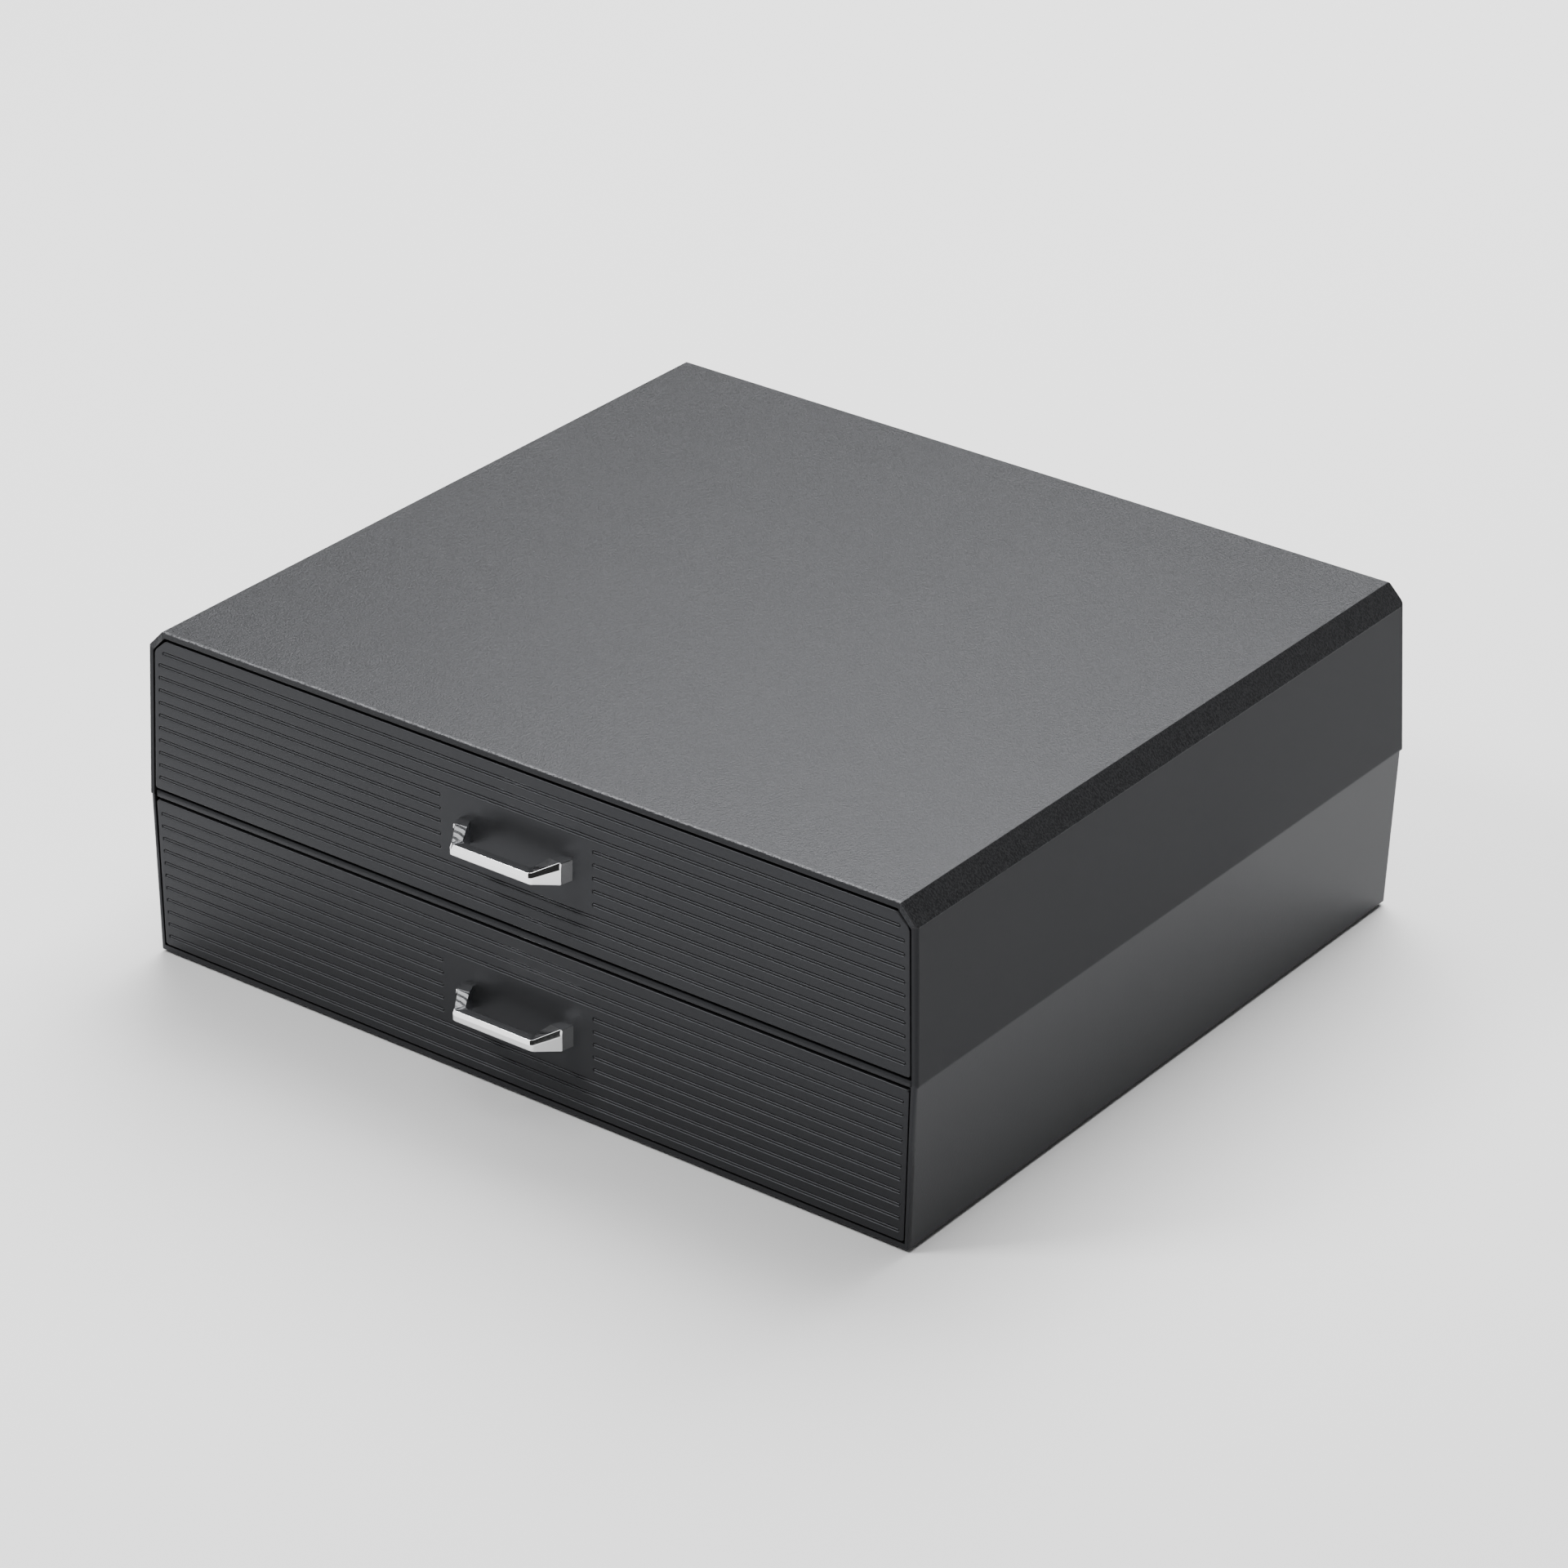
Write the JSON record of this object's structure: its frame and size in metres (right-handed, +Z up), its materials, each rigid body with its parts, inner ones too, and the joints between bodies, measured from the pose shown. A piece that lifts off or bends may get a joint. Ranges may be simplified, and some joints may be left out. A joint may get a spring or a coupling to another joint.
{
  "type": "coffee capsule drawer",
  "caption": "Free-standing cabinet with stacked pull-out drawers for coffee capsules, ribbed fronts, chrome bridge handles and a flat deck to carry a machine.",
  "frame": {"origin": "middle of the whole footprint, handles included, on the table", "axes": "+X to the right seen from the front, +Y to the back, +Z up; the drawers open towards -Y"},
  "size_m": [0.34, 0.3274, 0.133],
  "materials": {
    "case_plastic": "fine spark-eroded grain",
    "front_plastic": "fine matte grain",
    "tray_plastic": "smooth matte",
    "chrome": "mirror-bright plating",
    "rubber": "matte",
    "screw_steel": "zinc plated"
  },
  "bodies": {
    "case": {"upper_shell": "case_plastic", "lower_shell": "case_plastic", "divider_shelf": "case_plastic", "shell_screws": "screw_steel", "foot_front_left": "rubber", "foot_front_right": "rubber", "foot_back_left": "rubber", "foot_back_right": "rubber"},
    "upper_drawer": {"upper_drawer_front": "front_plastic", "upper_drawer_tray": "tray_plastic", "upper_handle": "chrome", "upper_front_screws": "screw_steel", "upper_handle_screws": "screw_steel", "upper_divider_1": "tray_plastic", "upper_divider_2": "tray_plastic", "upper_divider_3": "tray_plastic", "upper_divider_4": "tray_plastic"},
    "lower_drawer": {"lower_drawer_front": "front_plastic", "lower_drawer_tray": "tray_plastic", "lower_handle": "chrome", "lower_front_screws": "screw_steel", "lower_handle_screws": "screw_steel", "lower_divider_1": "tray_plastic", "lower_divider_2": "tray_plastic", "lower_divider_3": "tray_plastic", "lower_divider_4": "tray_plastic"}
  },
  "joints": [
    {"name": "upper_drawer_slide", "type": "slide", "parent": "case", "child": "upper_drawer", "axis": [0, -1, 0], "range_m": [0, 0.22]},
    {"name": "lower_drawer_slide", "type": "slide", "parent": "case", "child": "lower_drawer", "axis": [0, -1, 0], "range_m": [0, 0.22]}
  ]
}
